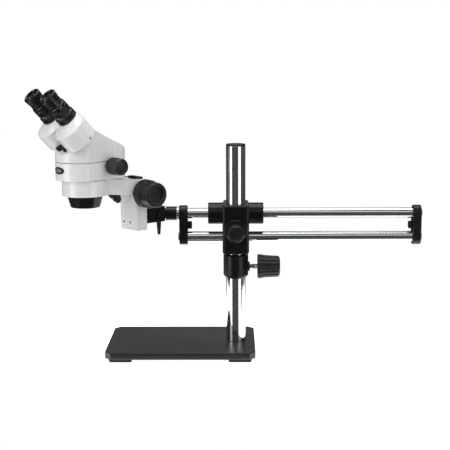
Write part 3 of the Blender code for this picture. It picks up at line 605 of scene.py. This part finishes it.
EAR = 13.5                  # radius of the knuckle's round ends


def knuckle():
    place = on(STAND, (0, ROD_Y, ROD_UPPER), (-1, 0, 0))
    pivot = Matrix.Translation(at_height(joint_at("rack_swivel")))
    low, high = span("knuckle_block", STAND)
    sleeve_start, sleeve_end = -high.x, -(low.x + EAR + 15.5)
    sleeve = lathe("knuckle_sleeve", place, [(0, sleeve_end), (14.5, sleeve_end), (14.5, sleeve_start),
                                             (0, sleeve_start)], soft=1.0)
    ends = arc((0, 0), EAR, pi / 2, 3 * pi / 2, 40) + [(18, -EAR), (18, EAR)]
    tongue = extruded("tongue", pivot, ends, ROD_UPPER - 9, ROD_UPPER + 9)
    joined(sleeve, tongue)
    bored(sleeve, place, ROD_RADIUS + 0.3, sleeve_start - 5, sleeve_end - 1)
    bored(sleeve, pivot, SHAFT_HOLE, ROD_UPPER - 20, ROD_UPPER + 20, 48)
    show(sleeve, CASTING, "knuckle", "black_casting", "knuckle_block")

    low, high = span("knuckle_screw", pivot)
    fork_low = span("rack_adapter", pivot)[0].z - 0.3
    handle = [(0, high.z), (4, high.z), (4, fork_low), (4.8, fork_low), (4.8, fork_low - 6), (3, low.z),
              (0, low.z)]
    show(lathe("tapered_thumb_screw", pivot, handle, 64, soft=0.7), PLASTIC, "knuckle_clamp", "black_plastic",
         "knuckle_screw")

    low, high = span("rack_adapter", RACK)
    outline = arc((0, 0), EAR, pi / 2, 3 * pi / 2, 40) + [(high.x, -EAR), (high.x, EAR)]
    fork = eased(extruded("forked_adapter", RACK, outline, low.z, high.z), 0.8, 3)
    shaped(fork, block("slot", RACK, (-30, -20, ROD_UPPER - 9.3), (17, 20, ROD_UPPER + 9.3)))
    bored(fork, RACK, SHAFT_HOLE, low.z - 5, ROD_UPPER + 13, 48)
    show(fork, CASTING, "rack", "black_casting", "rack_adapter")


# --- focusing rack ---------------------------------------------------------------------

def rack_column():
    low, high = span("rack_housing", RACK)
    housing = eased(block("cast_housing", RACK, low, high), 1.4, 4)
    shaped(housing, block("slideway", RACK, (low.x + 3, -14, low.z - 5), (high.x + 5, 14, high.z + 5)))
    shaft = frame_of(joint_at("focus_turn"), UP, SIDE)
    bored(housing, shaft, SHAFT_HOLE, -50, 50, 48)
    show(housing, ENAMEL, "rack", "rack_paint", "rack_housing")

    low, high = span("rack_end_cap", RACK)
    cap = eased(block("moulded_end_cap", RACK, low, high), 1.5, 4)
    notch = span("gear_rack", RACK)
    shaped(cap, block("notch", RACK, (notch[0].x - 0.6, notch[0].y - 0.6, low.z - 5),
                      (high.x + 5, notch[1].y + 0.6, high.z + 5)))
    show(cap, PLASTIC, "rack", "black_plastic", "rack_end_cap")
    kept("pinion_shaft", PLAIN_STEEL)


def gear_rack():
    """The bar behind the slide, with its teeth cut towards the pinion."""
    low, high = span("gear_rack", RACK)
    pitch, depth = 2.4, 1.6
    teeth = []
    for k in range(int((high.z - low.z - 2) / pitch)):
        z = low.z + 1 + k * pitch
        teeth += [(low.x + depth, z), (low.x, z + 0.7), (low.x, z + 1.3), (low.x + depth, z + 2.0)]
    outline = [(high.x, low.z), (low.x + depth, low.z)] + teeth + [(low.x + depth, high.z), (high.x, high.z)]
    place = on(RACK, (0, 0, 0), (0, -1, 0))
    bar = extruded("toothed_rack", place, outline, low.y, high.y)
    show(bar, STEEL, "arm", "steel", "gear_rack")


def focus_knobs():
    for side, way in (("near", 1), ("far", -1)):
        place = frame_of(joint_at("focus_turn"), UP, SIDE * way)
        low, high = span("focus_knob_" + side, place)
        start, end = low.z, high.z
        profile = [(0, end - 9), (17.4, end - 9), (17.6, end - 1), (19, end), (22.5, end), (25, end - 2.5),
                   (25.8, end - 14), (26.4, start + 22), (25.6, start + 21), (28.3, start + 20),
                   (28.8, start + 3), (27, start), (4.3, start), (4.3, 50.3), (0, 50.3)]
        ribs = ribbed(80, 0.55, start + 2, start + 19.5, 1.4, inner=27.5)
        knob = lathe("ribbed_focus_knob_" + side, place, profile, 400, soft=0.8, ribs=ribs)
        show(knob, KNOB, "focus_control", "knob_plastic", "focus_knob_" + side, sharp=50)
        liner = [(17.35, end - 1.4), (17.35, end - 8.9), (17.1, end - 8.9), (17.1, end - 1.4)]
        show(lathe("knob_liner_" + side, place, liner, soft=0.05, closed=True), STEEL, "focus_control",
             "steel")


def blended_arm(column, ring_x, ring_radius, half, fillet):
    """The arm and ring seen from above: a round ring that flows into a straight arm."""
    gap = sqrt((ring_radius + fillet) ** 2 - (half + fillet) ** 2)
    meet = asin((half + fillet) / (ring_radius + fillet))
    stations = [(column, half)]
    for k in range(13):                      # the hollow curve between the arm and the ring
        turn = (pi / 2 - meet) * k / 12
        stations.append((ring_x - gap + fillet * sin(turn), half + fillet - fillet * cos(turn)))
    for k in range(1, 49):                   # the ring itself, round to straight ahead
        angle = pi - meet - (pi - meet) * k / 48
        stations.append((ring_x + ring_radius * cos(angle), max(0.01, ring_radius * sin(angle))))
    return stations


def focus_arm():
    """The slide, the arm and the ring, cast in one."""
    low, high = span("focus_arm", RACK)
    ring_x, ring_radius, half, fillet = high.x - 45, 45, 29, 26
    slide_back, slide_front, arm_top, arm_low = 69.6, 76, 341, 308
    ring_low, ring_top = 317, 348
    stations = blended_arm(slide_front - 4, ring_x, ring_radius, half, fillet)
    slope_start, slope_end = slide_front + 4, ring_x - 34

    def lift(x):
        share = min(1, max(0, (x - slope_start) / (slope_end - slope_start)))
        return share * share * (3 - 2 * share)

    shape = bmesh.new()
    rows = []
    for x, w in stations:
        rise = lift(x)
        bottom = arm_low + (ring_low - arm_low) * rise
        top = arm_top + (ring_top - arm_top) * rise
        corners = ((-w, bottom), (w, bottom), (w, top), (-w, top))
        rows.append([shape.verts.new((x, y, z)) for y, z in corners])
    for first, second in zip(rows, rows[1:]):
        for k in range(4):
            following = (k + 1) % 4
            shape.faces.new((first[k], first[following], second[following], second[k]))
    shape.faces.new(rows[0])
    shape.faces.new(rows[-1])
    arm = made_object("cast_arm", shape, RACK)
    slide = block("slide", RACK, (slide_back, -half, low.z), (slide_front, half, arm_top))
    joined(arm, slide)
    eased(arm, 1.0, 3, 50)
    joined(arm, block("tongue", RACK, (66.6, -13.5, low.z + 1), (slide_back + 1, 13.5, arm_top - 1)))
    bored(arm, on(RACK, (ring_x, 0, 0)), 38.1, ring_low - 5, ring_top + 5)
    for node in ("gib_screw_near", "gib_screw_far"):
        start, end = span(node, RACK)
        place = on(RACK, (0, (start.y + end.y) / 2, (start.z + end.z) / 2), (1, 0, 0))
        bored(arm, place, 2.6, slide_front - 5, slide_front + 3, SMALL_SIDES)
    bored(arm, lock_screw_place(), 3.4, -6, 60, SMALL_SIDES)
    show(arm, ENAMEL, "arm", "rack_paint", "focus_arm", sharp=40)


def lock_screw_place():
    return frame_of(joint_at("head_clamp_turn"), UP, joint_axis("head_clamp_turn"))


def small_screws():
    """Gib screws, the ring's set screw and the thumb screw that locks the head."""
    for node in ("gib_screw_near", "gib_screw_far"):
        start, end = span(node, RACK)
        place = on(RACK, (0, (start.y + end.y) / 2, (start.z + end.z) / 2), (1, 0, 0))
        profile = [(0, end.x), (2.3, end.x), (2.3, start.x), (0, start.x)]
        screw = lathe("socket_" + node, place, profile, SMALL_SIDES, soft=0.3)
        shaped(screw, extruded("socket", place, hexagon(1.2), end.x - 1.8, end.x + 1))
        show(screw, STEEL, "arm", "steel", node)
    kept("ring_set_screw", PLASTIC)
    place = lock_screw_place()
    grip = [(0, 50), (6.2, 50), (7, 49), (7, 39), (6, 38), (3, 38), (3, 1.5), (0, 1.5)]
    ribs = ribbed(20, 0.5, 39.2, 48.6, 1.2, inner=6, fade=0.5)
    show(lathe("knurled_head_lock", place, grip, 160, soft=0.4, ribs=ribs, step=0.8), PLASTIC, "head_clamp",
         "black_plastic", "head_lock_screw", sharp=50)


# --- head ------------------------------------------------------------------------------

HEAD_CENTRE = span("nosepiece", RACK)[0].x / 2 + span("nosepiece", RACK)[1].x / 2
HEAD_FRONT, HEAD_BACK = span("head_base", RACK)[1].x, span("head_base", RACK)[0].x
FRONT_RADIUS, BACK_RADIUS, WALL = 50, 38, 3.5
FACE_SUM = 634                       # x + z over the inclined face
ROOF_X, ROOF_Z, ROOF_SLOPE = 149, 433.2, radians(25.4)


def head_outline(inset=0):
    return belt(HEAD_FRONT - FRONT_RADIUS, FRONT_RADIUS - inset,
                HEAD_BACK + BACK_RADIUS, BACK_RADIUS - inset)


def zoom_axis():
    return frame_of(joint_at("zoom_turn"), UP, SIDE)


def head_base():
    seam = span("head_base", RACK)[1].z
    low = span("head_base", RACK)[0].z
    floor = 349
    ring_axis = on(RACK, (HEAD_CENTRE, 0, 0))
    base = eased(extruded("cast_head_base", RACK, head_outline(), floor, seam), 0.9, 3)
    neck, neck_top = 37.5, floor + 2
    collar = [(0, neck_top), (neck, neck_top), (neck, low), (0, low)]
    joined(base, lathe("collar", ring_axis, collar, soft=0.5))
    shaped(base, extruded("hollow", RACK, head_outline(WALL), floor + WALL, seam + 10))
    bored(base, ring_axis, 26, low - 5, floor + 10)
    bored(base, zoom_axis(), SHAFT_HOLE, -100, 100, 48)
    show(base, ENAMEL, "head", "head_paint", "head_base", sharp=40)


def roofed(piece, drop):
    """Takes off everything above the roof and the inclined face."""
    half = (FACE_SUM - drop * sqrt(2)) / 2
    reach = 300
    face = on(RACK, (half, 0, half), (1, 0, 1), (1, 0, -1))
    shaped(piece, block("over_face", face, (-reach, -reach, 0), (reach, reach, reach)))
    roof = on(RACK, (ROOF_X, 0, ROOF_Z - drop / cos(ROOF_SLOPE)), (-sin(ROOF_SLOPE), 0, cos(ROOF_SLOPE)))
    return shaped(piece, block("over_roof", roof, (-reach, -reach, 0), (reach, reach, reach)))


def head_cover():
    low = span("head_cover", RACK)[0].z
    top = 480
    cover = roofed(extruded("cast_head_cover", RACK, head_outline(), low, top), 0)
    eased(cover, 2.6, 5, 25)
    hollow = roofed(extruded("hollow", RACK, head_outline(WALL), low - 5, top), 4)
    shaped(cover, hollow)
    for side, way in (("near", 1), ("far", -1)):
        bored(cover, on(DRUM[side], (0, -way * 9.4, 0)), 16, -56, -35)
    show(cover, ENAMEL, "head", "head_paint", "head_cover", sharp=40)


def nose():
    place = on(RACK, (HEAD_CENTRE, 0, 0))
    low, high = span("nosepiece", place)
    bottom, top = low.z, high.z
    profile = [(34, top), (35.1, top - 1.5), (29.1, bottom + 1.6), (28.8, bottom + 0.8),
               (27.8, bottom), (24, bottom), (24, top)]
    show(lathe("turned_nosepiece", place, profile, soft=0.4, closed=True), ANODISED, "head", "nose_black",
         "nosepiece")
    low, high = span("objective_lens", place)
    lens = [(0, high.z), (22.7, high.z), (23.6, high.z - 1), (23.6, high.z - 3), (19, low.z + 1.2),
            (10, low.z + 0.3), (0, low.z)]
    show(lathe("ground_objective", place, lens, soft=0.3), COATED_GLASS, "head", "optical_glass",
         "objective_lens")


def badge():
    """A blank oval plate with a raised rim, bent round the front of the head."""
    low, high = span("badge_plate", RACK)
    height, centre = (low.z + high.z) / 2, HEAD_FRONT - FRONT_RADIUS
    half_width, half_height = 16, 7

    def bent(name, scale, inner, outer):
        rings = []
        shape = bmesh.new()
        for radius in (inner, outer):
            for share in (1.0, 0.5):
                loop = []
                for k in range(64):
                    angle = 2 * pi * k / 64
                    y = half_width * scale * share * cos(angle)
                    z = height + half_height * scale * share * sin(angle)
                    around = y / FRONT_RADIUS
                    loop.append(shape.verts.new((centre + radius * cos(around), radius * sin(around), z)))
                rings.append(loop)
            rings.append([shape.verts.new((centre + radius, 0, height))])
        back_rim, back_half, back_middle, rim, half, middle = rings
        for first, second in ((back_rim, back_half), (rim, half), (rim, back_rim)):
            for k in range(64):
                following = (k + 1) % 64
                shape.faces.new((first[k], first[following], second[following], second[k]))
        for loop, tip in ((back_half, back_middle[0]), (half, middle[0])):
            for k in range(64):
                shape.faces.new((loop[k], loop[(k + 1) % 64], tip))
        return made_object(name, shape, RACK)

    plate = bent("blank_badge", 1.0, FRONT_RADIUS + 0.3, FRONT_RADIUS + 1.3)
    show(plate, PLASTIC, "head", "black_plastic", "badge_plate")
    field = bent("badge_field", 0.62, FRONT_RADIUS + 1.2, FRONT_RADIUS + 1.5)
    show(field, BADGE_FIELD, "head", "steel")


def zoom():
    kept("zoom_shaft", PLAIN_STEEL)
    kept("zoom_carriage", PLASTIC)
    for side, way in (("near", 1), ("far", -1)):
        place = frame_of(joint_at("zoom_turn"), UP, SIDE * way)
        low, high = span("zoom_knob_" + side, place)
        start, end = low.z, high.z
        profile = [(0, end), (6, end - 0.2), (6.6, end - 0.9), (8, end - 0.9), (8.6, end - 0.4),
                   (14.5, end - 2.5), (16.6, end - 6.5), (17.2, end - 14), (17.2, start + 2), (16, start),
                   (4.3, start), (4.3, 62.3), (0, 62.3)]
        ribs = ribbed(60, 0.45, start + 2.5, end - 8, 1.3, inner=15)
        knob = lathe("ribbed_zoom_knob_" + side, place, profile, 300, soft=0.9, ribs=ribs)
        show(knob, KNOB, "zoom_control", "knob_plastic", "zoom_knob_" + side, sharp=50)


# --- binocular tubes -------------------------------------------------------------------

DRUM_RADIUS, DRUM_LENGTH = 33, 40.2
TUBE_UP, TUBE_IN = 12, 4


def tube_axis(side):
    way = 1 if side == "near" else -1
    return on(DRUM[side], (-TUBE_UP, -way * TUBE_IN, 0))


def prism_housing(side):
    """A drum whose neck leans over to the eyepiece tube beside its axis."""
    way = 1 if side == "near" else -1
    sides, neck_height, neck_radius = 144, 7.5, 20.4
    sections = [(0, DRUM_RADIUS - 1.2, -DRUM_LENGTH), (0, DRUM_RADIUS - 0.35, -DRUM_LENGTH + 0.35),
                (0, DRUM_RADIUS, -DRUM_LENGTH + 1.2), (0, DRUM_RADIUS, -12)]
    for step in range(15):
        share = step / 14
        radius = DRUM_RADIUS + (neck_radius - DRUM_RADIUS) * share ** 1.3
        rise = neck_height * (1 - cos(share * pi / 2) ** 1.4) - 3 * (1 - share)
        sections.append((share ** 1.3, radius, rise))
    shape = bmesh.new()
    loops = []
    for lean, radius, height in sections:
        loops.append([shape.verts.new((-TUBE_UP * lean + radius * cos(2 * pi * k / sides),
                                       -way * TUBE_IN * lean + radius * sin(2 * pi * k / sides), height))
                      for k in range(sides)])
    for lower, upper in zip(loops, loops[1:]):
        for k in range(sides):
            following = (k + 1) % sides
            shape.faces.new((lower[k], lower[following], upper[following], upper[k]))
    shape.faces.new(loops[0])
    shape.faces.new(loops[-1])
    housing = made_object("cast_prism_housing_" + side, shape, DRUM[side])
    tube = tube_axis(side)
    joined(housing, lathe("stub", tube, [(0, 20.3), (16, 20.3), (16, 5), (0, 5)], 96, soft=0.5))
    bored(housing, DRUM[side], 28, -60, -6)
    bored(housing, tube, 14, -20, 40, 96)
    show(housing, ENAMEL, "prism_unit_" + side, "head_paint", "prism_housing_" + side, sharp=42)
    kept("prism_" + side, COATED_GLASS)

    around, screw_z = radians(way * 98), -36.5
    outward = (cos(around), sin(around), 0)
    seat = on(DRUM[side], (DRUM_RADIUS * cos(around), DRUM_RADIUS * sin(around), screw_z), outward)
    head = lathe("housing_screw_" + side, seat, [(0, 0.45), (2.0, 0.45), (2.0, -1), (0, -1)],
                 SMALL_SIDES, soft=0.3)
    shaped(head, extruded("socket", seat, hexagon(1.0), 0, 2))
    show(head, STEEL, "prism_unit_" + side, "steel")


def ocular(side):
    """Diopter ring, eyepiece, eye lens and eyecup on one tube."""
    tube = tube_axis(side)
    ring = [(19.2, 20.6), (20, 19.6), (20, 9), (19, 8), (16.3, 8), (16.3, 20.6)]
    knurl = ribbed(72, 0.6, 9.6, 19, 1.2, inner=19.4, fade=0.5)
    show(lathe("knurled_diopter_" + side, tube, ring, 360, soft=0.5, ribs=knurl, closed=True), ANODISED,
         "diopter_" + side, "ocular_black", "diopter_ring_" + side, sharp=50)

    barrel = [(0, 64.7), (8.6, 64.7), (9.2, 66.1), (12.2, 67), (13, 66.3), (13, 58.7), (16.4, 58.7),
              (16.4, 52.1), (15.8, 51.6), (16.4, 51.1), (16.4, 45.5), (18.4, 44), (18.6, 38.9), (18.0, 38.4), (18.6, 37.9),
              (18.6, 26), (17.6, 23.1), (13.7, 23.1), (13.7, -1), (0, -1)]
    grip = ribbed(48, 0.5, 26.8, 37.3, 1.2, inner=18.2, fade=0.5)
    show(lathe("turned_eyepiece_" + side, tube, barrel, 288, soft=0.5, ribs=grip), ANODISED, "ocular_" + side,
         "ocular_black", "eyepiece_" + side, sharp=50)
    lens = [(0, 66.1), (4, 65.9), (8.2, 65), (8.4, 64.8), (0, 64.8)]
    show(lathe("eye_lens_" + side, tube, lens, 96, soft=0.1), COATED_GLASS, "ocular_" + side, "optical_glass")

    cup = [(14.8, 70.9), (16.6, 70.5), (17.8, 68.9), (17.5, 65.1), (16.9, 64.1), (17.3, 63.1), (17.2, 60.1),
           (16.2, 59), (13.3, 59), (13.3, 68)]
    show(lathe("moulded_eyecup_" + side, tube, cup, 144, soft=0.8, closed=True), SOFT_RUBBER,
         "ocular_" + side, "eyecup_rubber", "eyecup_" + side, sharp=60)


def gap_shade_wedge():
    """A dark wedge of painted shade on the inclined face, where the gap between the two drums lies in shade.
    """
    middle = (joint_at("prism_near_turn") + joint_at("prism_far_turn")) / 2
    place = frame_of(middle, FORWARD, EYE)
    outline = [(13, 0), (33, -15), (33, -8), (22, 0), (33, 8), (33, 15)]
    piece = eased(extruded("painted_gap_shade", place, outline, -41, -31), 0.5, 3)
    # painted shade: this black piece stands in for the shaded gap between the drums
    show(piece, PLASTIC, "head", "black_plastic")


# --- studio ----------------------------------------------------------------------------

FLOOR_GLOW = 0.95            # keeps the paper pale where no softbox reaches
# The paper's left, right, front and back edges. It ends at the front where the pillar would mirror it.
PAPER = (-0.6, 0.6, -0.10, 0.45)
ROOM_SEEN = 1.0              # the surround as the camera sees it
ROOM_MATT = 0.50             # as it lights matt surfaces
ROOM_SHINE = 0.08            # as a mirror shows it
AIM = (0, 0, 0.3)            # what every softbox points at

# Each softbox's place, width, height and radiance.
SOFTBOXES = {
    "left_softbox": ((-1.9, -1.1, 0.55), 0.95, 2.4, 3.2),
    "right_softbox": ((1.55, -1.45, 0.55), 1.2, 2.4, 1.7),
    "top_softbox": ((-0.1, 0.2, 2.3), 2.4, 1.8, 2.8),
    "front_softbox": ((-0.2, -2.1, 1.9), 2.4, 1.0, 0.8),
    "back_softbox": ((0, 3.5, 1.0), 5.0, 1.5, 0.20),
}

SENSOR, LENS = 36, 80.56
CAMERA_OFFSET = (-5.1, -2055, 583.8)         # from the foot of the pillar
LOOK_DOWN, LOOK_LEFT, ROLL = 9.4, 0.48, -0.2


def floor():
    mesh = bpy.data.meshes.new("floor")
    left, right, front, back = PAPER
    corners = [(left, front, 0), (right, front, 0), (right, back, 0), (left, back, 0)]
    mesh.from_pydata(corners, [], [(0, 1, 2, 3)])
    made = bpy.data.objects.new("floor", mesh)
    bpy.context.scene.collection.objects.link(made)
    material, tree, shader = shader_of("paper_floor", (0.93, 0.93, 0.93), 0.9, Emission_Strength=FLOOR_GLOW)
    shader.inputs["Emission Color"].default_value = (1, 1, 1, 1)
    bumped(tree, shader, noise(tree, 300), 0.05)
    mesh.materials.append(material)


def softbox(name, location, width, height, radiance):
    light = bpy.data.lights.new(name, "AREA")
    light.shape, light.size, light.size_y = "RECTANGLE", width, height
    light.energy = pi * radiance * width * height
    made = bpy.data.objects.new(name, light)
    bpy.context.scene.collection.objects.link(made)
    made.location = location
    made.rotation_mode = "QUATERNION"
    made.rotation_quaternion = (Vector(AIM) - Vector(location)).to_track_quat("-Z", "Y")
    made.visible_camera = False


def studio():
    """A surround that is white to the camera, dimmer to matt surfaces and darkest to mirrors."""
    bpy.context.scene.view_settings.view_transform = "Standard"
    world = bpy.data.worlds.new("pale_room")
    bpy.context.scene.world = world
    world.use_nodes = True
    tree = world.node_tree
    background = tree.nodes["Background"]
    background.inputs["Color"].default_value = (1, 1, 1, 1)
    path = tree.nodes.new("ShaderNodeLightPath").outputs
    seen = ranged(tree, path["Is Camera Ray"], ROOM_SHINE, ROOM_SEEN, 0, 1)
    matt = ranged(tree, path["Is Diffuse Ray"], 0, ROOM_MATT, 0, 1)
    either = tree.nodes.new("ShaderNodeMath")
    either.operation = "MAXIMUM"
    tree.links.new(seen, either.inputs[0])
    tree.links.new(matt, either.inputs[1])
    tree.links.new(either.outputs[0], background.inputs["Strength"])
    for name, row in SOFTBOXES.items():
        softbox(name, *row)


def camera():
    data = bpy.data.cameras.new("camera")
    made = bpy.data.objects.new("camera", data)
    bpy.context.scene.collection.objects.link(made)
    data.sensor_width, data.lens = SENSOR, LENS
    made.location = STAND.translation + Vector(CAMERA_OFFSET) * MM
    pitch, yaw, roll = radians(90 - LOOK_DOWN), radians(LOOK_LEFT), radians(ROLL)
    made.rotation_mode = "QUATERNION"
    made.rotation_quaternion = (Quaternion(UP, yaw) @ Quaternion(RIGHT, pitch) @ Quaternion(UP, roll))
    bpy.context.scene.camera = made


camera()
floor()
studio()
base_plate()
feet()
pillar()
safety_collar()
carrier()
boom()
knuckle()
rack_column()
gear_rack()
focus_knobs()
focus_arm()
small_screws()
head_base()
head_cover()
nose()
badge()
zoom()
for tube_side in ("near", "far"):
    prism_housing(tube_side)
    ocular(tube_side)
gap_shade_wedge()
